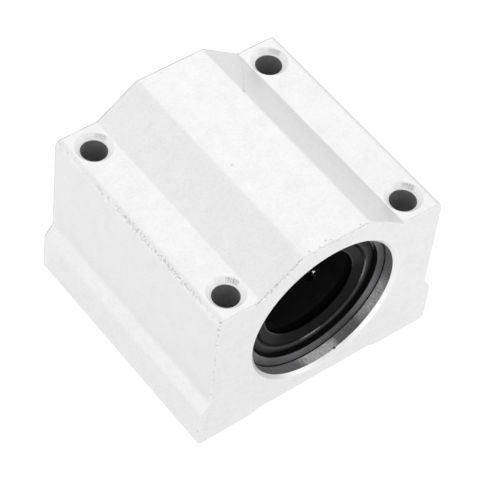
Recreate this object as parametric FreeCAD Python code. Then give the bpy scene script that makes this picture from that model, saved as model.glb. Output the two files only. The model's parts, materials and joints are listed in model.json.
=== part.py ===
import FreeCAD, Part
import math
import os
from FreeCAD import Vector

# Linear bearing block for a 20 mm shaft, in millimetres.
# X runs across the block, Y along the shaft and Z up. The origin is the middle of the base.
# The front is the end face at the lowest Y.

# Shaft and ball bushing
shaft_diameter = 20.0
bushing_section = 6.0  # from the shaft to the outside of the sleeve
bushing_length = 42.0
bushing_seat_clearance = 0.02
ball_diameter = 3.175
race_clearance = 0.015
circuit_count = 5
load_row_angle = -44.0  # of the first circuit, in degrees above +X
row_island = 1.48  # width of the cage's wall between the two rows of a circuit
track_clearance = 0.07
ramp_length = 3.0
smallest_ball_gap = 0.33
slot_lip = 0.29  # how far a slot's edge reaches under a ball on each side
slot_lip_clearance = 0.04
slot_overrun = 1.0
track_end_wall = 0.945  # of the cage, beyond each turn of a track
track_floor_clearance = 0.06
cage_bore_clearance = 0.04
cage_outer_clearance = 0.09
cage_end_clearance = 0.1
sleeve_relief_clearance = 0.08
race_width = 3.7
race_root = 0.3  # how deep a race's block is rooted in the sleeve

# Sleeve ends
seal_thickness = 2.2
end_ring_thickness = 0.8
end_ring_width = 3.3
end_seat_step = 0.4
end_seat_clearance = 0.02
sleeve_edge_chamfer = 0.5
sleeve_groove_depth = 0.75
sleeve_groove_width = 1.6
sleeve_groove_to_end = 5.75

# Seal section
seal_edge_chamfer = 0.3
seal_rim_width = 1.75
seal_rim_round = 0.35
seal_groove_width = 0.35
seal_groove_depth = 0.55
seal_cone_start = 0.2
seal_lip_clearance = 0.03
seal_lip_depth = 0.95
seal_lip_edge = 0.25
seal_lip_back_depth = 1.6
seal_lip_back_width = 1.1
seal_back_width = 1.9

# Retaining rings, with the sizes of the common 32 mm internal ring
ring_thickness = 1.2
ring_groove_play = 0.1
ring_groove_depth = 0.85
ring_groove_clearance = 0.05
ring_full_width = 3.45
ring_end_width = 1.15
ring_gap = 3.6
ring_gap_angle = 113.0  # front ring, in degrees above +X
ring_ear_reach = 5.1
ring_ear_radius = 2.3
ring_ear_hole_diameter = 2.5

# Housing
bore_height = 21.0
wall_over_bore = 4.0
wall_to_bolt = 1.4
bolt_hole_diameter = 5.2
bolt_sink_diameter = 7.4
bolt_to_side = 7.0
bolt_to_end = 5.0
bolt_to_hump = 3.9
bushing_inset = 4.0
hump_rise = 6.0
hump_flank_run = 8.5
flange_step = 1.8
flange_side_height = 9.5
flange_slope_rise = 2.5
relief_width = 26.0
relief_ramp = 2.0
relief_depth = 0.8
mouth_chamfer = 0.6
shoulder_edge_radius = 1.3
hump_edge_radius = 0.9
hump_foot_radius = 0.8
flange_root_radius = 0.8
flange_top_radius = 1.3
base_edge_radius = 1.2
relief_edge_radius = 1.0
end_edge_radius = 0.35

# How far a cutting shape reaches past the surface it cuts
cut_past = 1.0

# Sizes that follow
shaft_radius = shaft_diameter / 2
bushing_radius = shaft_radius + bushing_section
ball_radius = ball_diameter / 2
block_length = bushing_length + 2 * bushing_inset
block_height = bore_height + bushing_radius + wall_over_bore
shoulder_height = block_height - hump_rise
bolt_x = bushing_radius + wall_to_bolt + bolt_hole_diameter / 2
bolt_y = block_length / 2 - bolt_to_end
half_width = bolt_x + bolt_to_side
half_body = half_width - flange_step
half_hump_foot = bolt_x - bolt_to_hump
half_hump_top = half_hump_foot - hump_flank_run
half_track = ball_radius + track_clearance
row_offset = row_island / 2 + half_track
load_radius = shaft_radius + ball_radius
load_rise = math.sqrt(load_radius**2 - row_offset**2)
slot_half_width = ball_radius - slot_lip
slot_floor = load_rise - math.sqrt((ball_radius + slot_lip_clearance) ** 2 - slot_half_width**2)
return_rise = slot_floor + ball_radius + track_floor_clearance
race_radius = load_radius + ball_radius + race_clearance
relief_radius = math.hypot(return_rise, row_offset) + ball_radius + sleeve_relief_clearance
end_seat_radius = relief_radius + end_seat_step
end_fit_radius = end_seat_radius - end_seat_clearance
end_seat_depth = seal_thickness + end_ring_thickness
cage_bore_radius = shaft_radius + cage_bore_clearance
cage_radius = race_radius - cage_outer_clearance
cage_half_length = bushing_length / 2 - end_seat_depth - cage_end_clearance
half_straight = cage_half_length - track_end_wall - half_track - row_offset
load_length = 2 * (half_straight - ramp_length)
ring_radius = bushing_radius + ring_groove_depth - ring_groove_clearance
circuit_angle = load_row_angle + math.degrees(math.asin(row_offset / load_radius))  # of its middle

along = Vector(0, 1, 0)
bore_centre = Vector(0, 0, bore_height)


def rounded_wire(corners, place):
    """A closed wire of straight runs with a tangent arc at each corner, from (u, v, radius) corners."""
    ends = []
    for i, (u, v, radius) in enumerate(corners):
        here = Vector(u, v, 0)
        back = Vector(corners[i - 1][0], corners[i - 1][1], 0) - here
        on = Vector(corners[(i + 1) % len(corners)][0], corners[(i + 1) % len(corners)][1], 0) - here
        back.normalize()
        on.normalize()
        half = back.getAngle(on) / 2
        reach = radius / math.tan(half)
        middle = (back + on).normalize() * (radius / math.sin(half) - radius)
        ends.append((here + back * reach, here + middle, here + on * reach))
    edges = []
    for i, (start, middle, stop) in enumerate(ends):
        if start.distanceToPoint(stop) > 1e-6:
            edges.append(Part.Arc(place(start), place(middle), place(stop)).toShape())
        following = ends[(i + 1) % len(ends)][0]
        edges.append(Part.LineSegment(place(stop), place(following)).toShape())
    return Part.Wire(edges)


def turned(corners, direction=1):
    """A ring turned about the bore's axis. Corners are (radius, depth from the middle, corner round)."""
    wire = rounded_wire(corners, lambda p: Vector(p.x, direction * p.y, bore_height))
    return Part.Face(wire).revolve(bore_centre, along, 360)


def bore_cylinder(radius, start, stop):
    return Part.makeCylinder(radius, stop - start, Vector(0, start, bore_height), along)


def bore_cone(first_radius, last_radius, start, stop):
    return Part.makeCone(first_radius, last_radius, stop - start, Vector(0, start, bore_height), along)


def about_bore(shape, angle):
    """Turns a shape made above the bore's axis, at 90 degrees, to an angle above +X."""
    moved = shape.copy()
    moved.rotate(bore_centre, along, 90 - angle)
    return moved


def export(name, shape):
    if not shape.isValid():
        raise RuntimeError(name + " is not a valid solid")
    shape.exportStep("parts/" + name + ".step")
    print(name, "solids", len(shape.Solids), "volume", round(shape.Volume, 1))


# Housing: one extrusion with machined ends, bore and bolt holes


def housing_outline():
    right = [
        (relief_width / 2, relief_depth, relief_edge_radius),
        (relief_width / 2 + relief_ramp, 0, relief_edge_radius),
        (half_width, 0, base_edge_radius),
        (half_width, flange_side_height, flange_top_radius),
        (half_body, flange_side_height + flange_slope_rise, flange_root_radius),
        (half_body, shoulder_height, shoulder_edge_radius),
        (half_hump_foot, shoulder_height, hump_foot_radius),
        (half_hump_top, block_height, hump_edge_radius),
    ]
    left = [(-u, v, radius) for u, v, radius in reversed(right)]
    return rounded_wire(right + left, lambda p: Vector(p.x, -block_length / 2, p.y))


def bolt_hole(x, y):
    hole = Part.makeCylinder(bolt_hole_diameter / 2, block_height, Vector(x, y, 0))
    sink_depth = (bolt_sink_diameter - bolt_hole_diameter) / 2
    sink = Part.makeCone(
        bolt_hole_diameter / 2,
        bolt_sink_diameter / 2 + cut_past,
        sink_depth + cut_past,
        Vector(x, y, shoulder_height - sink_depth),
    )
    return hole.fuse(sink)


def housing():
    block = Part.Face(housing_outline()).extrude(along * block_length)
    end = block_length / 2
    rim = [e for e in block.Edges if all(abs(abs(v.Y) - end) < 1e-6 for v in e.Vertexes)]
    rim = [e for e in rim if abs(e.CenterOfMass.y) > end - 1e-3]
    block = block.makeFillet(end_edge_radius, rim)
    tools = [bore_cylinder(bushing_radius, -end, end)]
    for side in (-1, 1):
        wide = bushing_radius + mouth_chamfer
        face = side * end
        inner = side * (end - mouth_chamfer)
        if side < 0:
            tools.append(bore_cone(wide, bushing_radius, face, inner))
        else:
            tools.append(bore_cone(bushing_radius, wide, inner, face))
        ring_back = side * bushing_length / 2
        ring_front = side * (bushing_length / 2 + ring_thickness + ring_groove_play)
        low, high = sorted((ring_back, ring_front))
        tools.append(bore_cylinder(bushing_radius + ring_groove_depth, low, high))
    for x in (-bolt_x, bolt_x):
        for y in (-bolt_y, bolt_y):
            tools.append(bolt_hole(x, y))
    return block.cut(tools)


# Ball bushing: sleeve, cage and ball circuits


def bearing_sleeve():
    outer = bushing_radius - bushing_seat_clearance
    half = bushing_length / 2
    seat = half - end_seat_depth
    body = bore_cylinder(outer, -half, half)
    rim = [e for e in body.Edges if e.Closed and abs(abs(e.CenterOfMass.y) - half) < 1e-6]
    body = body.makeChamfer(sleeve_edge_chamfer, rim)
    body = body.cut(bore_cylinder(relief_radius, -half, half))
    for side in (-1, 1):
        low, high = sorted((side * half, side * seat))
        body = body.cut(bore_cylinder(end_seat_radius, low, high))
        groove_end = half - sleeve_groove_to_end
        low, high = sorted((side * groove_end, side * (groove_end - sleeve_groove_width)))
        groove = bore_cylinder(bushing_radius + cut_past, low, high)
        body = body.cut(groove.cut(bore_cylinder(bushing_radius - sleeve_groove_depth, low, high)))
    race_ring = bore_cylinder(relief_radius + race_root, -load_length / 2, load_length / 2)
    race_ring = race_ring.cut(bore_cylinder(race_radius, -load_length / 2, load_length / 2))
    block = Part.makeBox(
        race_width, load_length, bushing_radius, Vector(-race_width / 2, -load_length / 2, bore_height)
    )
    race = race_ring.common(block)
    for i in range(circuit_count):
        body = body.fuse(about_bore(race, load_row_angle - i * 360 / circuit_count))
    return body.removeSplitter()


def stadium(radius, low, high):
    """A flat ring road's outline filled in, standing from low to high above the bore's axis."""
    middle = Part.makeBox(
        2 * radius, 2 * half_straight, high - low, Vector(-radius, -half_straight, bore_height + low)
    )
    ends = [
        Part.makeCylinder(radius, high - low, Vector(0, y, bore_height + low))
        for y in (-half_straight, half_straight)
    ]
    return middle.fuse(ends)


def ball_track():
    """The space that one circuit takes out of the cage: a closed track, open below along the loaded row."""
    beyond = cage_radius + cut_past
    track = stadium(row_offset + half_track, slot_floor, beyond)
    track = track.cut(stadium(row_offset - half_track, slot_floor, beyond))
    half_slot = half_straight + slot_overrun - slot_half_width
    bore_rise = math.sqrt(cage_bore_radius**2 - (row_offset + slot_half_width) ** 2)
    low = bore_height + bore_rise - cut_past
    depth = bore_height + slot_floor - low
    slot = Part.makeBox(
        2 * slot_half_width, 2 * half_slot, depth, Vector(row_offset - slot_half_width, -half_slot, low)
    )
    for y in (-half_slot, half_slot):
        slot = slot.fuse(Part.makeCylinder(slot_half_width, depth, Vector(row_offset, y, low)))
    return track.fuse(slot)


def ball_retainer():
    cage = bore_cylinder(cage_radius, -cage_half_length, cage_half_length)
    cage = cage.cut(bore_cylinder(cage_bore_radius, -cage_half_length, cage_half_length))
    track = ball_track()
    for i in range(circuit_count):
        cage = cage.cut(about_bore(track, circuit_angle - i * 360 / circuit_count))
    return cage


def ball_place(distance):
    """Where a ball's centre is after a distance along the track, from the start of the loaded row."""
    turn = math.pi * row_offset
    if distance < 2 * half_straight:
        y = distance - half_straight
        lift = min(max((abs(y) - load_length / 2) / ramp_length, 0), 1)
        lift = lift * lift * (3 - 2 * lift)
        return Vector(row_offset, y, load_rise + lift * (return_rise - load_rise))
    distance -= 2 * half_straight
    if distance < turn:
        angle = distance / row_offset
        return Vector(
            row_offset * math.cos(angle), half_straight + row_offset * math.sin(angle), return_rise
        )
    distance -= turn
    if distance < 2 * half_straight:
        return Vector(-row_offset, half_straight - distance, return_rise)
    angle = (distance - 2 * half_straight) / row_offset
    return Vector(
        -row_offset * math.cos(angle), -half_straight - row_offset * math.sin(angle), return_rise
    )


def ball_circuit():
    """One closed circuit of balls, evenly spaced, with one ball at the middle of the front turn."""
    track_length = 4 * half_straight + 2 * math.pi * row_offset
    count = int(track_length / (ball_diameter + smallest_ball_gap))
    first = track_length - math.pi * row_offset / 2
    balls = []
    for i in range(count):
        place = ball_place((first + i * track_length / count) % track_length)
        balls.append(Part.makeSphere(ball_radius, place + bore_centre))
    return Part.makeCompound(balls)


# Pieces that close the bushing's ends, made for the rear and mirrored to the front


def seal(direction):
    face = bushing_length / 2
    outer = end_fit_radius
    rim = outer - seal_rim_width
    cone = rim - seal_groove_width
    lip = shaft_radius + seal_lip_clearance
    corners = [
        (outer, face - seal_thickness, 0),
        (outer, face - seal_edge_chamfer, 0),
        (outer - seal_edge_chamfer, face, 0),
        (rim, face, seal_rim_round),
        (rim, face - seal_groove_depth, 0),
        (cone, face - seal_groove_depth, 0),
        (cone, face - seal_cone_start, 0),
        (lip, face - seal_lip_depth, 0),
        (lip, face - seal_lip_depth - seal_lip_edge, 0),
        (lip + seal_lip_back_width, face - seal_lip_back_depth, 0),
        (lip + seal_back_width, face - seal_thickness, 0),
    ]
    return turned(corners, direction)


def end_ring(direction):
    back = bushing_length / 2 - end_seat_depth
    front = back + end_ring_thickness
    inner = end_fit_radius - end_ring_width
    corners = [
        (inner, back, 0),
        (end_fit_radius, back, 0),
        (end_fit_radius, front, 0),
        (inner, front, 0),
    ]
    return turned(corners, direction)


def retaining_ring():
    """The front ring: thickest opposite its gap, with an ear and a hole at each side of the gap."""
    start = -bushing_length / 2 - ring_thickness
    inner_radius = ring_radius - (ring_full_width + ring_end_width) / 2
    off_centre = (ring_full_width - ring_end_width) / 2
    level = Vector(0, start, bore_height)
    disc = Part.makeCylinder(ring_radius, ring_thickness, level, along)
    ring = disc.cut(Part.makeCylinder(inner_radius, ring_thickness, level + Vector(0, 0, off_centre), along))
    ear_x = ring_gap / 2 + ring_ear_radius
    ear_reach = ring_radius - ring_ear_reach + ring_ear_radius
    ear_z = math.sqrt(ear_reach**2 - ear_x**2)
    for x in (-ear_x, ear_x):
        centre = level + Vector(x, 0, ear_z)
        ear = Part.makeCylinder(ring_ear_radius, ring_thickness, centre, along)
        corner = Vector(min(x, 0), start, bore_height + ear_z)
        root = Part.makeBox(abs(x), ring_thickness, ring_radius, corner)
        ring = ring.fuse(ear.common(disc)).fuse(root.common(disc))
        ring = ring.cut(Part.makeCylinder(ring_ear_hole_diameter / 2, ring_thickness, centre, along))
    gap = Part.makeBox(ring_gap, ring_thickness, ring_radius, Vector(-ring_gap / 2, start, bore_height))
    return about_bore(ring.cut(gap).removeSplitter(), ring_gap_angle)


def to_rear(shape):
    """Turns a front piece half round the vertical through the block's middle."""
    moved = shape.copy()
    moved.rotate(Vector(0, 0, 0), Vector(0, 0, 1), 180)
    return moved


os.makedirs("parts", exist_ok=True)
export("housing", housing())
export("bearing_sleeve", bearing_sleeve())
export("ball_retainer", ball_retainer())
circuit = ball_circuit()
for i in range(circuit_count):
    export("ball_circuit_" + str(i + 1), about_bore(circuit, circuit_angle - i * 360 / circuit_count))
for name, direction in (("front", -1), ("rear", 1)):
    export(name + "_seal", seal(direction))
    export(name + "_end_ring", end_ring(direction))
front_ring = retaining_ring()
export("front_retaining_ring", front_ring)
export("rear_retaining_ring", to_rear(front_ring))
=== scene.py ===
import json
import math
import bmesh
import bpy
import numpy as np
from mathutils import Matrix, Vector


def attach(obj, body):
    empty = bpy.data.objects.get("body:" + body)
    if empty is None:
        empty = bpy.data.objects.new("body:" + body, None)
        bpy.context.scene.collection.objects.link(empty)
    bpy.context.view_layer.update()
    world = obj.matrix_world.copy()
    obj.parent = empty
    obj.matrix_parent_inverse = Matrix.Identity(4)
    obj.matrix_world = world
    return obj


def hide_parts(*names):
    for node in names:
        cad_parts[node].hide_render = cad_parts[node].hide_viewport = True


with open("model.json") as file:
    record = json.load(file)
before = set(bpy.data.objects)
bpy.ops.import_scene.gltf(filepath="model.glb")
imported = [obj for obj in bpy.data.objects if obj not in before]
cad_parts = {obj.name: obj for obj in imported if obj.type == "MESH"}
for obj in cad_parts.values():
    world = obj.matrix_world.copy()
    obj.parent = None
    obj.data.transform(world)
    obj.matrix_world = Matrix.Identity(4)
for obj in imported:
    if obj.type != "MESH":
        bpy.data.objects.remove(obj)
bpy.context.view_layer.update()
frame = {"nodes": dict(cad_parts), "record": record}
nodes = frame["nodes"]
mm = 0.001
print("frame loaded:", len(nodes), "nodes")

# numbers kept on the housing's faces, which tell its material how each face was made
skinFinish, sinkFinish, boreFinish, holeFinish, chamferFinish = range(5)


# Meshes: a patch is (points in millimetres, quads, finish number), and patches are welded into one closed piece
def ringPatch(points, finish, skip=None):
    # points is rows x columns x 3; quads join neighbouring rows and columns and the last row to the first
    rows, columns = points.shape[:2]
    i, j = np.meshgrid(np.arange(rows), np.arange(columns - 1), indexing="ij")
    here, following = i * columns + j, (i + 1) % rows * columns + j
    quads = np.stack([here, following, following + 1, here + 1], -1)
    if skip is not None:
        quads = quads[~skip]
    return points.reshape(-1, 3), quads.reshape(-1, 4), finish


def weldPatches(name, patches, sharpAngle, reshape):
    # Points closer than a tenth of a micron become one, and the closed surface is turned to face outwards.
    # The patches' finish numbers are kept on the faces, and reshape moves the welded points.
    points = np.concatenate([p for p, q, f in patches])
    starts = np.cumsum([0] + [len(p) for p, q, f in patches[:-1]])
    quads = np.concatenate([q + s for (p, q, f), s in zip(patches, starts)])
    finish = np.concatenate([np.full(len(q), f, np.float32) for p, q, f in patches])
    first, twin = np.unique(np.round(points, 4), axis=0, return_index=True, return_inverse=True)[1:]
    points, quads = reshape(points[first]), twin.ravel()[quads]
    mesh = bpy.data.meshes.new(name)
    mesh.from_pydata((points * mm).tolist(), [], quads.tolist())
    shell = bmesh.new()
    shell.from_mesh(mesh)
    bmesh.ops.recalc_face_normals(shell, faces=shell.faces)
    openEdges = sum(1 for e in shell.edges if len(e.link_faces) != 2)
    shell.to_mesh(mesh)
    shell.free()
    mesh.shade_smooth()
    mesh.set_sharp_from_angle(angle=math.radians(sharpAngle))
    mesh.attributes.new("finish", "FLOAT", "FACE").data.foreach_set("value", finish)
    piece = bpy.data.objects.new(name, mesh)
    bpy.context.scene.collection.objects.link(piece)
    print(name, "quads", len(quads), "open edges", openEdges)
    return piece


def roundedOutline(corners, arcSteps, runPlaces):
    # A closed outline of straight runs. A corner (u, v, radius) becomes an arc whose centre is radius from both
    # runs: its points are centre + turn side x radius x normal, as the tangent's angle goes from one run's to
    # the next's. Returns the points and their outward normals for an outline that goes counter-clockwise.
    c = np.array([k[:2] for k in corners], float)
    radius = np.array([k[2] for k in corners], float)
    way = np.roll(c, -1, 0) - c
    way /= np.linalg.norm(way, axis=1)[:, None]
    before = np.roll(way, 1, 0)
    turn = np.arctan2(before[:, 0] * way[:, 1] - before[:, 1] * way[:, 0], (before * way).sum(1))
    side = np.sign(turn)[:, None]
    startAngle = np.arctan2(before[:, 1], before[:, 0])
    reach = radius * np.tan(np.abs(turn) / 2)
    start = c - before * reach[:, None]
    stop = c + way * reach[:, None]
    centre = start - side * radius[:, None] * np.stack([before[:, 1], -before[:, 0]], 1)
    angle = startAngle[:, None] + turn[:, None] * np.linspace(0, 1, arcSteps + 1)
    normal = np.stack([np.sin(angle), -np.cos(angle)], -1)
    arcs = centre[:, None] + side[:, None] * radius[:, None, None] * normal
    points, normals = [], []
    for i in range(len(corners)):
        following = (i + 1) % len(corners)
        places = runPlaces(i, stop[i], start[following])
        points += [arcs[i], places]
        normals += [normal[i], np.repeat(normal[i][-1:], len(places), 0)]
    return np.concatenate(points), np.concatenate(normals)


def latticeNoise(points, cell, seed):
    # Smooth noise from 0 to 1: random values at the corners of a lattice, blended with 3t^2 - 2t^3. A corner's
    # value is the middle bits of a key that is multiplied, added to and folded once for each coordinate.
    seedFactor, seedOffset = 7919, 12345
    factor, spread, offset = 6364136223846793005, 1442695040888963407, 1013904223
    positive, middleBits = 0x7FFFFFFFFFFFFFFF, 0xFFFFF
    p = points / cell
    low = np.floor(p).astype(np.int64)
    t = p - low
    t = t * t * (3 - 2 * t)
    total = np.zeros(len(p))
    for corner in np.ndindex(*([2] * p.shape[1])):
        key = np.full(len(p), seed * seedFactor + seedOffset, np.int64)
        weight = np.ones(len(p))
        for axis, step in enumerate(corner):
            key = (key * factor + (low[:, axis] + step) * spread + offset) & positive
            key ^= key >> 29
            weight *= t[:, axis] if step else 1 - t[:, axis]
        total += weight * ((key >> 20) & middleBits) / middleBits
    return total


# Housing, in millimetres. The outline's corners are (x, z, radius) on its right half, from the relief under the
# base round to the hump; the left half mirrors them. The bore's profile is (radius, depth) from an end face.
housing = {
    "length": 50.0,
    "boreHeight": 21.0,
    "outline": [
        (13, 0.8, 1.0),
        (15, 0, 1.0),
        (27, 0, 1.2),
        (27, 9.5, 2.2),
        (25.2, 12, 2.0),
        (25.2, 35, 1.3),
        (16.1, 35, 0.5),
        (7.6, 41, 2.0),
    ],
    "endRound": 0.35,
    "boltAt": 20.0,
    "boltRadius": 2.6,
    "sinkRadius": 3.7,
    "footSinkRadius": 2.95,
    "threadPitch": 1.0,
    "threadDepth": 0.38,
    "threadLength": 12.0,
    "threadEnd": 0.35,
    "boreProfile": [(16.6, 0), (16.0, 0.6), (16.0, 2.65), (16.85, 2.65), (16.85, 4.0), (16.0, 4.0)],
    "dentAt": (-25.0, 34.8),
    "dentReach": 0.8,
    "dentDepth": 0.12,
    "sharpAngle": 32,
}
halfLength, boreHeight, boltAt = housing["length"] / 2, housing["boreHeight"], housing["boltAt"]
shoulderHeight, slopeFoot = housing["outline"][5][1], housing["outline"][6][0]
crownHalf, crownHeight = housing["outline"][7][:2]


def alongBore(flatPoints, y):
    # points given as (x, z) in an end face's plane, moved along the bore to y
    return np.stack([flatPoints[..., 0], np.broadcast_to(y, flatPoints.shape[:2]), flatPoints[..., 1]], -1)


def squarePatch(hub, xs, ys, radius, level):
    # a flat patch from a square's edge to a circle about the hub, and the angles of its points about the hub
    steps = len(xs) - 1
    edge = np.concatenate([
        np.stack([xs[:-1], np.full(steps, ys[0])], 1),
        np.stack([np.full(steps, xs[-1]), ys[:-1]], 1),
        np.stack([xs[:0:-1], np.full(steps, ys[-1])], 1),
        np.stack([np.full(steps, xs[0]), ys[:0:-1]], 1),
    ])
    angle = np.unwrap(np.arctan2(edge[:, 1] - hub[1], edge[:, 0] - hub[0]))
    circle = hub + radius * np.stack([np.cos(angle), np.sin(angle)], 1)
    share = np.linspace(0, 1, 4)[None, :, None]
    flat = edge[:, None] * (1 - share) + circle[:, None] * share
    levels = np.full((*flat.shape[:2], 1), level)
    return ringPatch(np.concatenate([flat, levels], -1), skinFinish), angle


def boltHole(h, hub, topAngle, footAngle):
    # The countersink, then the wall with the thread. The rows are (radius, height) from the shoulder down. The
    # angles of their points pass from the upper square's to the lower one's, 33 to 18 mm above the base.
    turned = np.linspace(0, 1, 12)
    sinkDepth = h["sinkRadius"] - h["boltRadius"]
    sinkRows = np.stack([h["sinkRadius"] - sinkDepth * turned, shoulderHeight - sinkDepth * turned], 1)
    plainWall = np.linspace(shoulderHeight - sinkDepth, h["threadLength"], 10)[1:-1]
    heights = np.append(plainWall, np.linspace(h["threadLength"], h["threadEnd"], int(h["threadLength"] * 10)))
    wallRows = np.stack([np.full(len(heights), h["boltRadius"]), heights], 1)
    rows = np.concatenate([sinkRows, wallRows, [[h["footSinkRadius"], 0.0]]])
    fade = np.clip((33 - rows[:, 1]) / 15, 0, 1)[None, :]
    angle = topAngle[:, None] * (1 - fade) + footAngle[:, None] * fade
    # the thread's valley deepens with the distance from its crest, in turns, and runs in and out at its ends
    height = np.broadcast_to(rows[:, 1], angle.shape)
    phase = height / h["threadPitch"] - angle / (2 * math.pi)
    valley = np.clip((2 * np.abs(phase - np.round(phase)) - 0.25) / 0.65, 0, 1)
    runIn = np.clip((h["threadLength"] - height) / 1.5, 0, 1) * np.clip((height - h["threadEnd"]) / 0.6, 0, 1)
    radius = rows[:, 0] + h["threadDepth"] * valley * runIn
    hole = np.stack([hub[0] + radius * np.cos(angle), hub[1] + radius * np.sin(angle), height], -1)
    return [ringPatch(hole[:, :len(turned)], sinkFinish), ringPatch(hole[:, len(turned) - 1:], holeFinish)]


def knockedEdge(points, h):
    # the left shoulder's outer edge is knocked: points near it move in by two sizes of noise along the edge
    moved = points.copy()
    x, y, z = points.T
    along = np.stack([y, np.zeros(len(y))], 1)
    broad = np.clip(latticeNoise(along, 1.1, 3) * 1.6 - 0.75, 0, 1)
    fine = np.clip(latticeNoise(along, 0.45, 5) * 1.8 - 0.9, 0, 1)
    near = np.exp(-(((x - h["dentAt"][0]) ** 2 + (z - h["dentAt"][1]) ** 2) / h["dentReach"]**2))
    inward = h["dentDepth"] * (broad + 0.6 * fine) * near
    moved[:, 0] += inward * 0.7
    moved[:, 2] -= inward * 0.7
    return moved


def housingPiece(h):
    # stations across the square about a bolt hole, at even angles; the shoulder's is narrower beside the hump
    squareHalf, innerHalf, strip, endStrip = 3.85, 3.73, 0.12, 0.15
    quarter = np.tan(np.radians(np.linspace(-45, 45, 13)))
    square = boltAt + squareHalf * quarter
    shoulderSquare = boltAt + np.where(quarter < 0, innerHalf, squareHalf) * quarter
    # Run i goes from corner i to the next. Runs 1 and 13 are the feet and 5 and 9 the shoulders, whose points
    # line up with the squares. The other runs are cut into steps of these lengths, or else of 1 mm.
    fixedX = {1: square, 13: -square[::-1], 5: shoulderSquare[::-1], 9: -shoulderSquare}
    steps = {2: 0.9, 4: 0.9, 6: 0.7, 7: 0.9, 8: 0.7, 10: 0.45, 12: 0.45, 15: 2.0}

    def runPlaces(i, a, b):
        # the points of run i from a to b, with a narrow strip beside each round
        length = np.linalg.norm(b - a)
        if i in fixedX:
            x = np.sort(fixedX[i]) if b[0] > a[0] else np.sort(fixedX[i])[::-1]
            beside = strip * np.sign(b[0] - a[0])
            if a[1] < 1:
                x = np.concatenate([[a[0] + beside], x, [b[0] - beside]])
            return np.stack([x, np.full(len(x), a[1])], 1)
        count = max(int(length / steps.get(i, 1.0)), 1)
        inner = min(strip / length, 0.25)
        return a + (b - a) * np.linspace(inner, 1 - inner, count + 1)[:, None]

    mirrored = [(-u, v, r) for u, v, r in reversed(h["outline"])]
    outline, normal = roundedOutline(h["outline"] + mirrored, 6, runPlaces)
    # stations along the block: even steps in the middle, then the squares, a narrow strip and the end round
    flat = halfLength - h["endRound"]
    tip = flat + h["endRound"] * np.sin(np.linspace(0, math.pi / 2, 6)[1:])
    ahead = np.concatenate([square, [flat - endStrip, flat], tip])
    y = np.concatenate([-ahead[::-1], np.linspace(-square[0], square[0], 80)[1:-1], ahead])
    # over an end round the outline moves in by endRound x (1 - sqrt(1 - s^2)), with s from 0 to 1
    s = np.maximum(np.abs(y) - flat, 0) / h["endRound"]
    inset = h["endRound"] * (1 - np.sqrt(np.maximum(1 - s**2, 0)))
    skin = alongBore(outline[:, None] - normal[:, None] * inset[None, :, None], y)
    # cells of the skin inside the squares about the bolt holes are left out
    midX, midZ = ((outline + np.roll(outline, -1, 0)) / 2).T
    midY = (y[1:] + y[:-1]) / 2
    onFlat = (np.abs(midZ) < 1e-6) | (np.abs(midZ - shoulderHeight) < 1e-6)
    lowX = np.where(midZ > 1, shoulderSquare[0], square[0])
    inX = onFlat & (np.abs(midX) > lowX) & (np.abs(midX) < square[-1])
    inY = (np.abs(midY) > square[0]) & (np.abs(midY) < square[-1])
    patches = [ringPatch(skin, skinFinish, inX[:, None] & inY[None, :])]
    # each end face runs from the outline's end to the bore's mouth, at the outline's own angles about the bore
    profile = np.array(h["boreProfile"], float)
    centre = np.array([0, boreHeight])
    radial = skin[:, 0][:, [0, 2]] - centre
    around = np.arctan2(radial[:, 1], radial[:, 0])
    ring = np.stack([np.cos(around), np.sin(around)], 1)
    mouth = centre + ring * profile[0, 0]
    share = np.array([0, 0.03, 0.35, 0.7, 0.96, 1])[None, :, None]
    for end, j in ((-halfLength, 0), (halfLength, -1)):
        rim = skin[:, j][:, [0, 2]]
        face = rim[:, None] * (1 - share) + mouth[:, None] * share
        patches.append(ringPatch(alongBore(face, end), skinFinish))
    # the bore: a chamfer and a ring groove at each end, with a plain wall between
    wall = [(profile[-1, 0], depth) for depth in (12, 25, 38)]
    profile = np.concatenate([profile, wall, profile[::-1] * [1, -1] + [0, h["length"]]])
    bore = alongBore(centre + ring[:, None] * profile[None, :, :1], profile[:, 1] - halfLength)
    patches.append(ringPatch(bore[:, :2], chamferFinish))
    patches.append(ringPatch(bore[:, 1:-1], boreFinish))
    patches.append(ringPatch(bore[:, -2:], chamferFinish))
    for sx in (-1, 1):
        for sy in (-1, 1):
            hub, ys = np.array([sx, sy]) * boltAt, np.sort(sy * square)
            top, topAngle = squarePatch(hub, np.sort(sx * shoulderSquare), ys, h["sinkRadius"], shoulderHeight)
            foot, footAngle = squarePatch(hub, np.sort(sx * square), ys, h["footSinkRadius"], 0.0)
            patches += [top, foot, *boltHole(h, hub, topAngle, footAngle)]
    return weldPatches("housingBlock", patches, h["sharpAngle"], lambda points: knockedEdge(points, h))


block = housingPiece(housing)
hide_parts("housing")
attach(block, "root")

# the photo's camera: angles in degrees, lengths in metres
camera = {
    "azimuth": -42.653,
    "elevation": 50.056,
    "roll": 7.374,
    "distance": 0.430982,
    "focalInImageWidths": 2325.922 / 480,
    "sensorWidth": 36,
    "aim": (0.0, 0.0, 0.020),
    "slideRight": 0.000327,
    "slideUp": 0.002783,
    "clip": (0.01, 20),
}


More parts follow.
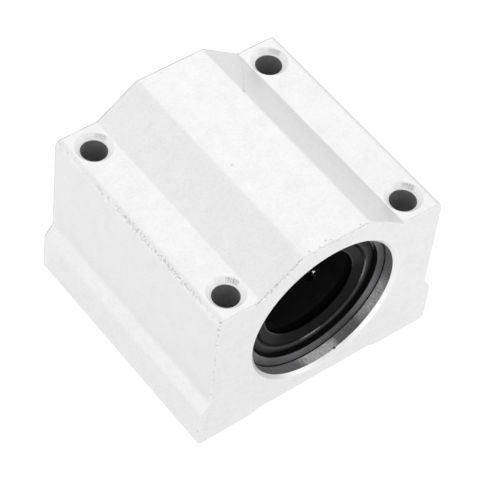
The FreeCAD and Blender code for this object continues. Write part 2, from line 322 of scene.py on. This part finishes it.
def placeCamera(c):
    a, e, r = (math.radians(c[k]) for k in ("azimuth", "elevation", "roll"))
    back = Vector((math.sin(a) * math.cos(e), -math.cos(a) * math.cos(e), math.sin(e)))
    right = Vector((math.cos(a), math.sin(a), 0))
    up = back.cross(right)
    rolledRight = math.cos(r) * right + math.sin(r) * up
    rolledUp = math.cos(r) * up - math.sin(r) * right
    place = Vector(c["aim"]) + back * c["distance"] - rolledRight * c["slideRight"] - rolledUp * c["slideUp"]
    data = bpy.data.cameras.new("photoCamera")
    data.sensor_width = c["sensorWidth"]
    data.lens = c["focalInImageWidths"] * c["sensorWidth"]
    data.clip_start, data.clip_end = c["clip"]
    cam = bpy.data.objects.new("photoCamera", data)
    bpy.context.scene.collection.objects.link(cam)
    turn = Matrix((rolledRight, rolledUp, back)).transposed().to_4x4()
    cam.matrix_world = Matrix.Translation(place) @ turn
    bpy.context.scene.camera = cam


placeCamera(camera)


class Shade:
    # a socket of a material's node tree; sums on it add Math nodes
    def __init__(self, tree, socket=None):
        self.tree, self.socket = tree, socket

    def node(self, kind, settings=None, sockets=None, out=0):
        made = self.tree.nodes.new("ShaderNode" + kind)
        for key, value in (settings or {}).items():
            setattr(made, key, value)
        for key, value in (sockets or {}).items():
            if isinstance(value, Shade):
                self.tree.links.new(value.socket, made.inputs[key])
            else:
                made.inputs[key].default_value = value
        return Shade(self.tree, made.outputs[out])

    def sum(self, operation, *others, clamp=False):
        return self.node("Math", {"operation": operation, "use_clamp": clamp}, dict(enumerate(others)))

    def __add__(self, other):
        return self.sum("ADD", self, other)

    def __radd__(self, other):
        return self.sum("ADD", other, self)

    def __sub__(self, other):
        return self.sum("SUBTRACT", self, other)

    def __rsub__(self, other):
        return self.sum("SUBTRACT", other, self)

    def __mul__(self, other):
        return self.sum("MULTIPLY", self, other)

    def __rmul__(self, other):
        return self.sum("MULTIPLY", other, self)

    def __truediv__(self, other):
        return self.sum("DIVIDE", self, other)

    def power(self, exponent):
        return self.sum("POWER", self, exponent)

    def root(self):
        return self.sum("SQRT", self)

    def size(self):
        return self.sum("ABSOLUTE", self)

    def wave(self):
        return self.sum("SINE", self) * 0.5 + 0.5

    def between(self, low, high):
        # 0 below low, 1 above high and smooth from one to the other; low may be the larger
        sockets = {"Value": self, "From Min": low, "From Max": high}
        return self.node("MapRange", {"interpolation_type": "SMOOTHSTEP"}, sockets)

    def limited(self):
        return self.sum("ADD", self, 0, clamp=True)

    def lighter(self, other):
        return self.sum("MAXIMUM", self, other)

    def blend(self, one, other):
        # a colour that goes from one to the other as this value goes from 0 to 1
        one, other = ((*c, 1) if isinstance(c, tuple) else c for c in (one, other))
        return self.node("Mix", {"data_type": "RGBA"}, {0: self, 6: one, 7: other}, 2)


socketNames = {"colour": "Base Color", "roughness": "Roughness", "metallic": "Metallic", "normal": "Normal"}


def newMaterial(name, constants):
    # a Principled material, its node tree and the object's own place in millimetres
    material = bpy.data.materials.new(name)
    material.use_nodes = True
    tree = material.node_tree
    for key, value in constants.items():
        tree.nodes["Principled BSDF"].inputs[key].default_value = value
    shade = Shade(tree)
    place = shade.node("TexCoord", out=3)
    return material, shade, shade.node("VectorMath", {"operation": "SCALE"}, {0: place, "Scale": 1 / mm})


def feed(material, **values):
    shader = material.node_tree.nodes["Principled BSDF"]
    for key, value in values.items():
        material.node_tree.links.new(value.socket, shader.inputs[socketNames[key]])


def noise(place, size, detail=3.0, roughness=0.55, distortion=0.0):
    sockets = {
        "Vector": place,
        "Scale": 1 / size,
        "Detail": detail,
        "Roughness": roughness,
        "Distortion": distortion,
    }
    return place.node("TexNoise", {"noise_dimensions": "3D"}, sockets)


def scaled(place, x, y, z):
    return place.node("VectorMath", {"operation": "MULTIPLY"}, {0: place, 1: (x, y, z)})


def parts(place):
    return [place.node("SeparateXYZ", {}, {"Vector": place}, i) for i in range(3)]


def distance(place, at):
    return place.node("VectorMath", {"operation": "DISTANCE"}, {0: place, 1: at}, 1)


def apart(a, b):
    # the length of a way with these two parts at right angles
    return (a.power(2) + b.power(2)).root()


def aboutBore(place, degrees, width):
    # 1 in the direction that many degrees above +X from the bore's middle, and 0 from width degrees away
    angle = math.radians(degrees)
    x, z = parts(place)[::2]
    up = z - boreHeight
    facing = (x * math.cos(angle) + up * math.sin(angle)) / apart(x, up)
    return facing.between(math.cos(math.radians(width)), 1)


def bump(height, depth):
    # height is from 0 to 1 and depth is in millimetres
    return height.node("Bump", {}, {"Height": height, "Distance": depth * mm, "Strength": 1.0})


def dimmed(colour, share):
    return tuple(share * c for c in colour)


# Spots are (place, radius, strength) and the nick is (place, radius), in millimetres. On the slope's plane the
# given shares of x and z add up to the offset. The scratch's y is start - slant t + curve t^2, with t the way
# in from the slope's foot. The rates are radians of the wave: per millimetre for rings, per radian for strokes.
aluminium = {
    "colour": (0.862, 0.862, 0.862),
    "brightColour": (0.945, 0.945, 0.945),
    "dullColour": (0.78, 0.78, 0.78),
    "pitColour": (0.50, 0.50, 0.51),
    "boreColour": (0.36, 0.36, 0.37),
    "borePaintedSheen": (0.92, 0.92, 0.93),
    "sinkColour": (0.99, 0.99, 0.99),
    "sinkMarksAndShade": (0.52, 0.52, 0.52),
    "paintedChamferShade": (0.56, 0.56, 0.56),
    "paintedEdgeShade": (0.50, 0.50, 0.50),
    "holeColour": (0.60, 0.60, 0.60),
    "roughness": 0.50,
    "turnedRoughness": 0.34,
    "grainSize": 0.22,
    "grainDepth": 0.014,
    "chipSize": 0.42,
    "mottleSize": 3.0,
    "boreGrainSize": 0.28,
    "sinkRingRate": 34,
    "boreRingRate": 42,
    "strokeRate": 43,
    "slopePlane": {"x": 0.5767, "z": 0.8170, "offset": 37.88},
    "scratch": {"start": 24.1, "slant": 1.664, "curve": 0.0344},
    "nick": ((4.73, -24.33, 5.74), 0.34),
    "spots": [
        ((-5.17, -1.07, 41.0), 0.34, 0.5),
        ((-1.96, -23.9, 41.0), 0.30, 0.7),
        ((-1.0, -24.3, 41.0), 0.22, 0.6),
        ((-3.68, -24.55, 41.0), 0.26, 0.6),
        ((-5.82, -24.22, 41.0), 0.32, 0.5),
        ((5.5, -24.4, 41.0), 0.26, 0.6),
        ((7.55, 12.25, 41.0), 0.45, 0.6),
        ((-25.0, -24.7, 33.2), 0.40, 0.8),
        ((-24.6, -24.6, 34.6), 0.36, 0.7),
        ((-27.0, -24.7, 4.2), 0.30, 0.6),
        ((4.2, -24.9, 5.2), 0.40, 0.9),
    ],
}


def nearWornEdges(v, x, y, z):
    # nearness to the knocked edges: front outline of the slopes and hump, left shoulder, front left corner
    front = y + halfLength
    plane = v["slopePlane"]
    beyondSlope = (z - 38).size() - 3.05  # the slope ends 3 mm above and below z = 38
    slope = (x.size() * plane["x"] + z * plane["z"] - plane["offset"]).size().lighter(beyondSlope)
    crown = (z - crownHeight).size().lighter(x.size() - crownHalf)
    slopeSides = x.between(-7, -8) + x.between(7, 8) * 0.5
    slopeEdge = apart(front, slope).between(0.85, 0.1) * slopeSides
    crownEdge = apart(front, crown).between(0.95, 0.1) * x.between(10, 7)
    leftWear = 0.62 + 0.38 * y.between(14, 2) * y.between(-22, -16)
    leftEdge = apart(x + 24.9, z - 34.8).between(1.05, 0.15) * leftWear
    cornerEdge = apart(x + 25.2, front).between(0.65, 0.1) * (0.45 + 0.4 * z.between(8, 26))
    return slopeEdge.lighter(crownEdge * 0.55).lighter(leftEdge * 0.85).lighter(cornerEdge)


def singleMarks(v, place, chips):
    # an arc-shaped scratch across the right slope, and the spots with ragged rims
    x, y, z = parts(place)
    line = v["scratch"]
    inward = slopeFoot - x
    offScratch = (y - line["start"] + inward * line["slant"] - inward.power(2) * line["curve"]).size()
    scratch = offScratch.between(0.26, 0.08) * x.between(7.3, 7.7) * z.between(35, 35.3)
    marks = scratch * noise(place, 0.8, 3).between(0.3, 0.55) * 0.32
    for at, radius, strength in v["spots"]:
        away = distance(place, at) + (chips - 0.5) * radius * 1.2
        marks = marks.lighter(away.between(radius, radius * 0.4) * strength)
    return marks


def sinkShadePatch(v, place, chips, bolt, besideX, besideY):
    # on one side of every countersink a dark patch is painted, a painted shade standing in for a dark
    # reflection, with radial tool strokes in it at the front ones
    side = ((besideX * 0.83 + besideY * 0.56) / bolt).between(0.90, 0.97)
    side = side * bolt.between(2.75, 2.95) * bolt.between(3.65, 3.4)
    strokes = besideY.sum("ARCTAN2", besideY, besideX) * v["strokeRate"] + noise(place, 0.9) * 9
    strokes = strokes.wave().between(0.3, 0.8) * chips.between(0.3, 0.55)
    strokeDepth = 0.2 + parts(place)[1].between(0, -5) * 0.4
    return side * (0.38 + bolt.between(3.15, 3.35) * 0.14 + strokes * strokeDepth)


def blastedAluminium(v):
    material, shade, place = newMaterial("blastedAluminium", {})
    x, y, z = parts(place)
    finish = shade.node("Attribute", {"attribute_name": "finish"}, out=2)
    numbers = (sinkFinish, boreFinish, holeFinish, chamferFinish)
    turned, bored, drilled, cut = (finish.sum("COMPARE", finish, number, 0.25) for number in numbers)
    blasted = 1 - finish.between(0.1, 0.9)
    bolt = apart(x.size() - boltAt, y.size() - boltAt)
    besideX, besideY = x - x.sum("SIGN", x) * boltAt, y - y.sum("SIGN", y) * boltAt
    fromBore = apart(x, z - boreHeight)
    grain = noise(place, v["grainSize"], 4, 0.6)
    speck = noise(place, v["chipSize"], 3, 0.75)
    mottle = noise(place, v["mottleSize"], 3, 0.6)
    chips = noise(place, v["chipSize"], 4, 0.7)
    worn = nearWornEdges(v, x, y, z)
    nearEdge = worn.between(0.05, 0.3)
    greyChip = (chips + worn * 0.26).between(0.70, 0.80) * nearEdge * blasted
    brightChip = (chips - worn * 0.2).between(0.28, 0.20) * nearEdge * blasted
    marks = singleMarks(v, place, chips)
    # rings of the countersink tool about each bolt, and of the boring tool along the bore
    sinkRings = (bolt * v["sinkRingRate"] + noise(place, 1.2) * 5).wave()
    sinkRings = sinkRings * noise(scaled(place, 1, 1, 3), 0.35, 3).between(0.2, 0.75)
    paintedSinkPatch = sinkShadePatch(v, place, chips, bolt, besideX, besideY)
    boreGrain = noise(scaled(place, 1, 0.55, 1), v["boreGrainSize"], 4, 0.7)
    boreRings = (y * v["boreRingRate"] + boreGrain * 6).wave()
    # the skin is painted a little brighter round the countersinks' rims and at the lower right of the bore's
    # mouth: painted highlights on those edges
    lowerRight = (x - z + boreHeight).between(4, 13)
    mouth = fromBore.between(17.5, 16.4) * y.size().between(24.6, 24.95) * lowerRight
    paintedHighlight = blasted * mouth.lighter(bolt.between(4.4, 3.7) * z.between(34.8, 34.95) * 0.25)
    # the round of the back end is painted darker in patches: a painted shade along that edge
    backEdgeShade = blasted * y.between(24.5, 24.75) * y.between(24.999, 24.96)
    backEdgeShade = backEdgeShade * (0.3 + mottle.between(0.3, 0.6) * 0.7)
    dull = (mottle.between(0.35, 0.75) * 0.2 + speck.between(0.40, 0.70) * 0.65).limited()
    colour = dull.blend(v["colour"], v["dullColour"])
    # the chamfer is painted near white, partly its cut finish and partly a painted highlight, and the painted
    # edge highlights and the bright wear chips are added to it
    colour = (paintedHighlight * 0.6 + cut + brightChip * 0.5).limited().blend(colour, v["brightColour"])
    # the chamfer is painted darker at the lower left and a little at the lower right of the mouth: painted
    # shade
    chamferShadeMask = cut * (aboutBore(place, -146, 44) * 0.8 + aboutBore(place, -54, 18) * 0.2)
    colour = chamferShadeMask.blend(colour, v["paintedChamferShade"])
    colour = (backEdgeShade * 0.8).blend(colour, v["paintedEdgeShade"])
    colour = (greyChip * 0.55).lighter(marks * blasted).blend(colour, v["pitColour"])
    colour = turned.blend(colour, v["sinkColour"])
    # the countersinks' tool rings darken them a little, and the patch beside each is painted shade
    colour = (turned * (sinkRings * 0.05).lighter(paintedSinkPatch)).blend(colour, v["sinkMarksAndShade"])
    # the bore's wall is painted darker than the skin, partly its bored finish and partly painted shade, with a
    # painted sheen low down and at the right, painted darker between, and painted shade in the ring groove
    paintedSheen = aboutBore(place, -83, 20) + aboutBore(place, -30, 24) * 0.6 - aboutBore(place, -60, 12) * 0.5
    paintedSheen = (paintedSheen * (0.45 + boreGrain.between(0.35, 0.62) * 0.6) * bored).limited()
    wall = (boreGrain.between(0.3, 0.7) * 0.4 + paintedSheen).limited().blend(v["boreColour"], v["borePaintedSheen"])
    colour = bored.blend(colour, wall)
    grooveShade = bored * y.size().between(22.5, 22.33) * y.size().between(20.9, 21.1)
    colour = (grooveShade * 0.6).blend(colour, v["holeColour"])
    nickAt, nickRadius = v["nick"]
    nick = (distance(place, nickAt) + (chips - 0.5) * 0.3).between(nickRadius, nickRadius * 0.6)
    colour = (nick * bored.lighter(cut)).blend(colour, dimmed(v["boreColour"], 0.35))
    colour = drilled.blend(colour, v["holeColour"])
    rough = v["roughness"] + (mottle - 0.5) * 0.08 + (grain - 0.5) * 0.12 + greyChip * 0.15
    rough = rough + (turned + cut * 0.5) * (v["turnedRoughness"] - v["roughness"])
    rough = rough + bored * (boreGrain * 0.14 - 0.12) + drilled * 0.1
    height = blasted * (grain * 0.6 + speck * 0.5 - greyChip * 2.0 - marks * 1.5)
    height = height + turned * sinkRings * 0.5 + bored * (boreRings * 0.5 + boreGrain * 1.5)
    # the countersinks, the chamfer and the bore's painted sheen are less metallic, so that they scatter light
    # evenly
    sinkFilm = turned * (0.95 - (besideY / bolt).between(0.5, 0.95) * 0.2)
    metallic = 1 - sinkFilm - cut * 0.3 - paintedSheen * 0.8
    normal = bump(height, v["grainDepth"])
    feed(material, colour=colour, roughness=rough.limited(), metallic=metallic, normal=normal)
    return material


steel = {
    "colour": (0.56, 0.56, 0.57),
    "roughness": 0.26,
    "lineSize": 0.12,
    "lineDepth": 0.003,
    "cloudSize": 4.0,
}


def groundSteel(v):
    material, shade, place = newMaterial("groundSteel", {"Metallic": 1.0})
    lines = noise(scaled(place, 0.15, 1, 0.15), v["lineSize"], 4, 0.65)
    cloud = noise(place, v["cloudSize"], 3, 0.6)
    colour = (lines * 0.4 + cloud.between(0.4, 0.8) * 0.4).blend(v["colour"], dimmed(v["colour"], 0.86))
    rough = v["roughness"] + (lines - 0.5) * 0.12 + (cloud - 0.5) * 0.08
    feed(material, colour=colour, roughness=rough, normal=bump(lines, v["lineDepth"]))
    return material


# painted shade is given as a distance from the bore's axis, and as a depth, as y, where it starts and is full
spring = {
    "colour": (0.115, 0.115, 0.118),
    "paleColour": (0.21, 0.21, 0.215),
    "roughness": 0.42,
    "deepShadeColour": (0.02, 0.02, 0.02),
    "shadeFrom": 15.70,
    "shadeInside": (22.12, 22.02),
    "grainSize": 0.3,
    "grainDepth": 0.006,
    "cloudSize": 5.0,
    "rollSize": 0.25,
}


def oiledSpringSteel(v):
    material, shade, place = newMaterial("oiledSpringSteel", {"Metallic": 0.85})
    x, y, z = parts(place)
    fromBore = apart(x, z - boreHeight)
    # the groove's edge, the inner wall and everything deeper in the bore are painted nearly black: painted
    # shade
    deepShade = fromBore.between(v["shadeFrom"], v["shadeFrom"] + 0.14).lighter(y.size().between(*v["shadeInside"]))
    grain = noise(place, v["grainSize"], 4, 0.6)
    cloud = noise(place, v["cloudSize"], 3, 0.6, 0.6)
    rolled = noise(scaled(place, 0.12, 1, 1), v["rollSize"], 3, 0.6)
    # patches about the bore are painted darker and one paler: painted shade and a painted reflection
    paintedDarkPatches = aboutBore(place, -60, 14) + aboutBore(place, -128, 16) * 0.8 + aboutBore(place, 10, 16) * 0.6
    pale = cloud.between(0.3, 0.7) * 0.6 + grain.between(0.45, 0.75) * 0.35
    pale = pale + aboutBore(place, -28, 16) * 0.4 - paintedDarkPatches * 0.55
    colour = pale.limited().blend(v["colour"], v["paleColour"])
    colour = deepShade.blend(colour, v["deepShadeColour"])
    rough = v["roughness"] + (grain - 0.5) * 0.16 + (cloud - 0.5) * 0.12
    feed(material, colour=colour, roughness=rough, normal=bump(grain * 0.6 + rolled * 0.4, v["grainDepth"]))
    return material


ball = {
    "colour": (0.90, 0.90, 0.91),
    "roughness": 0.07,
    "hazeSize": 1.1,
    "scratchSize": 1.0,
    "scratchDepth": 0.0006,
}


def polishedSteel(v):
    material, shade, place = newMaterial("polishedSteel", {"Metallic": 1.0})
    haze = noise(place, v["hazeSize"], 4, 0.6).between(0.4, 0.8)
    scratch = noise(scaled(place, 6, 0.7, 1.3), v["scratchSize"], 3, 0.6, 1.5)
    colour = haze.blend(v["colour"], dimmed(v["colour"], 0.9))
    rough = v["roughness"] + haze * 0.06 + scratch.between(0.6, 0.72) * 0.1
    feed(material, colour=colour, roughness=rough, normal=bump(scratch, v["scratchDepth"]))
    return material


plastic = {
    "colour": (0.007, 0.007, 0.007),
    "paleColour": (0.016, 0.016, 0.016),
    "roughness": 0.46,
    "grainSize": 0.16,
    "grainDepth": 0.006,
    "flowSize": 2.6,
}


def mouldedPlastic(v):
    material, shade, place = newMaterial("mouldedPlastic", {"Specular IOR Level": 0.16})
    grain = noise(place, v["grainSize"], 3, 0.6)
    flow = noise(scaled(place, 1, 0.3, 1), v["flowSize"], 3, 0.6, 0.8)
    pale = grain.between(0.4, 0.7) * 0.5 + flow.between(0.4, 0.75) * 0.5
    colour = pale.blend(v["colour"], v["paleColour"])
    rough = v["roughness"] + (grain - 0.5) * 0.14 + (flow - 0.5) * 0.16
    feed(material, colour=colour, roughness=rough, normal=bump(grain, v["grainDepth"]))
    return material


# the ridge, lip, groove and shine are bands of distance from the bore's axis, in millimetres
rubber = {
    "colour": (0.006, 0.006, 0.006),
    "dustAndLightColour": (0.032, 0.032, 0.032),
    "highlightColour": (0.075, 0.075, 0.075),
    "shineColour": (0.50, 0.50, 0.50),
    "ridge": (12.35, 12.50, 13.2, 13.7),
    "lip": (10.12, 10.26),
    "groove": (11.75, 12.05, 12.36, 12.46),
    "shine": (12.43, 12.49, 12.56, 12.64),
    "roughness": 0.40,
    "grainSize": 0.2,
    "grainDepth": 0.008,
    "cloudSize": 2.4,
    "ringRate": 24,
}


def sealRubber(v):
    material, shade, place = newMaterial("sealRubber", {"Specular IOR Level": 0.05})
    x, y, z = parts(place)
    fromBore = apart(x, z - boreHeight)
    grain = noise(place, v["grainSize"], 3, 0.6)
    cloud = noise(place, v["cloudSize"], 3, 0.6, 0.5)
    rings = (fromBore * v["ringRate"] + noise(place, 2.0) * 2).wave()
    # the cone is painted paler towards its two ends, a painted highlight, on top of patchy dust
    ends = aboutBore(place, -158, 42).lighter(aboutBore(place, 40, 40))
    dustAndLitEnds = cloud.between(0.45, 0.85) * grain.between(0.35, 0.7) * 0.35 + ends * 0.8
    colour = dustAndLitEnds.limited().blend(v["colour"], v["dustAndLightColour"])
    # the raised ridge and the lip's edge towards the two ends are painted paler than the rest: painted
    # highlights
    rise, top, end, foot = v["ridge"]
    ridge = fromBore.between(rise, top) * (0.35 + 0.65 * fromBore.between(end, top))
    ridge = ridge * fromBore.between(foot, end)
    lipStart, lipEnd = v["lip"]
    paintedHighlight = (ridge * (0.4 + cloud * 0.8)).lighter(fromBore.between(lipEnd, lipStart) * ends)
    colour = paintedHighlight.blend(colour, v["highlightColour"])
    # the groove inside the ridge is painted black as painted shade, and a painted highlight shines on the
    # ridge's edge in two places
    start, low, high, stop = v["groove"]
    groove = fromBore.between(start, low) * fromBore.between(stop, high)
    colour = (groove * 0.9).blend(colour, dimmed(v["colour"], 0.2))
    start, low, high, stop = v["shine"]
    shine = fromBore.between(start, low) * fromBore.between(stop, high)
    shine = shine * (aboutBore(place, -83, 13) + aboutBore(place, -5, 17)).limited() * grain.between(0.3, 0.6)
    colour = (shine * y.size().between(20.3, 20.6)).blend(colour, v["shineColour"])
    rough = v["roughness"] + (cloud - 0.5) * 0.14 + (grain - 0.5) * 0.1 + dustAndLitEnds * 0.2 - paintedHighlight * 0.1
    feed(material, colour=colour, roughness=rough, normal=bump(grain * 0.8 + rings * 0.2, v["grainDepth"]))
    return material


finishes = {
    "anodised_aluminium": blastedAluminium(aluminium),
    "bearing_steel": groundSteel(steel),
    "spring_steel": oiledSpringSteel(spring),
    "ball_steel": polishedSteel(ball),
    "cage_plastic": mouldedPlastic(plastic),
    "seal_rubber": sealRubber(rubber),
}
block.data.materials.append(finishes["anodised_aluminium"])
for part in frame["record"]["subparts"]:
    if part["node"] != "housing":
        data = nodes[part["node"]].data
        data.materials.clear()
        data.materials.append(finishes[part["material_slot"]])
print("materials made:", len(finishes))

# Studio, in metres. The shades and the card are darker parts of the surroundings in reflections: each starts
# and is full at these cosines about its direction, and takes its depth away from white.
studio = {
    "softLevel": 0.85,
    "rightShade": {"towards": (0.868, 0.472, -0.10), "from": 0.60, "to": 0.98, "depth": 0.23},
    "frontShade": {"towards": (0.0, -1.0, 0.22), "from": 0.60, "to": 0.95, "depth": 0.50},
    "leftCard": {"towards": (-0.80, -0.06, 0.59), "from": 0.962, "to": 0.985, "depth": 0.85},
    "floorColour": (0.80, 0.80, 0.80),
    "floorGlow": 0.705,
    "cameraGlow": 0.07,
    "floorShadow": 0.36,
    "floorSize": 4.0,
    "floorHeight": -0.00005,
    "lampAim": (0, 0, 0.02),
    "lamps": {
        "backRight": {"at": (0.50, 0.54, 0.80), "size": (0.30, 0.30), "power": 0.345},
        "frontRight": {"at": (0.65, -0.75, 0.25), "size": (0.40, 0.40), "power": 0.40},
        "frontLeft": {"at": (-0.25, -0.97, 0.14), "size": (1.50, 0.26), "power": 2.10},
        "backLeft": {"at": (-0.65, 0.60, 0.55), "size": (0.40, 0.40), "power": 0.08},
        "left": {"at": (-0.95, 0.10, 0.25), "size": (0.40, 0.40), "power": 0.40},
    },
}
white = (1, 1, 1, 1)


def seenDirectly(shade):
    # 1 for rays from the camera, in reflections and through glass, and 0 for diffuse light
    rays = ("Is Camera Ray", "Is Glossy Ray", "Is Transmission Ray")
    path = [shade.node("LightPath", out=name) for name in rays]
    return path[0].lighter(path[1]).lighter(path[2])


def surround(v):
    # the world is white where it is seen directly, a little darker as light, and reflections see the shades
    world = bpy.data.worlds.new("studio")
    world.use_nodes = True
    bpy.context.scene.world = world
    shade = Shade(world.node_tree)
    background = world.node_tree.nodes["Background"]
    background.inputs["Color"].default_value = white
    reflected = 1.0
    for area in (v["rightShade"], v["frontShade"], v["leftCard"]):
        sockets = {0: shade.node("TexCoord", out=0), 1: Vector(area["towards"]).normalized()}
        facing = shade.node("VectorMath", {"operation": "DOT_PRODUCT"}, sockets, 1)
        reflected = reflected - facing.between(area["from"], area["to"]) * area["depth"]
    mirrored = shade.node("LightPath", out="Is Glossy Ray")
    strength = v["softLevel"] + seenDirectly(shade) * (1 - v["softLevel"]) + mirrored * (reflected - 1)
    world.node_tree.links.new(strength.socket, background.inputs["Strength"])


def layFloor(v):
    # a plain pale plane; seen directly it glows up to white and keeps the shadow, and from below it is clear
    half, low = v["floorSize"] / 2, v["floorHeight"]
    corners = [(-half, -half, low), (half, -half, low), (half, half, low), (-half, half, low)]
    mesh = bpy.data.meshes.new("floor")
    mesh.from_pydata(corners, [], [(0, 1, 2, 3)])
    floor = bpy.data.objects.new("floor", mesh)
    bpy.context.scene.collection.objects.link(floor)
    material = bpy.data.materials.new("paleFloor")
    material.use_nodes = True
    tree = material.node_tree
    tree.nodes.remove(tree.nodes["Principled BSDF"])
    shade = Shade(tree)
    plain = shade.node("BsdfDiffuse", {}, {"Color": (*v["floorColour"], 1)})
    faint = shade.node("BsdfDiffuse", {}, {"Color": (v["floorShadow"],) * 3 + (1,)})
    glow = v["floorGlow"] + shade.node("LightPath", out="Is Camera Ray") * v["cameraGlow"]
    glow = shade.node("Emission", {}, {"Color": white, "Strength": glow})
    bright = shade.node("AddShader", {}, {0: glow, 1: faint})
    above = shade.node("MixShader", {}, {"Fac": seenDirectly(shade), 1: plain, 2: bright})
    fromBelow = shade.node("NewGeometry", out=6)
    clear = shade.node("BsdfTransparent", {}, {"Color": white})
    result = shade.node("MixShader", {}, {"Fac": fromBelow, 1: above, 2: clear})
    tree.links.new(result.socket, tree.nodes["Material Output"].inputs["Surface"])
    mesh.materials.append(material)


def hangLamps(v):
    for name, lamp in v["lamps"].items():
        light = bpy.data.lights.new(name, "AREA")
        light.energy, light.shape = lamp["power"], "RECTANGLE"
        light.size, light.size_y = lamp["size"]
        piece = bpy.data.objects.new(name, light)
        piece.location = lamp["at"]
        facing = Vector(v["lampAim"]) - Vector(lamp["at"])
        piece.rotation_euler = facing.to_track_quat("-Z", "Y").to_euler()
        bpy.context.scene.collection.objects.link(piece)


surround(studio)
layFloor(studio)
hangLamps(studio)
print("studio lit with", len(studio["lamps"]), "lamps")
bpy.context.scene.view_settings.view_transform = "Standard"
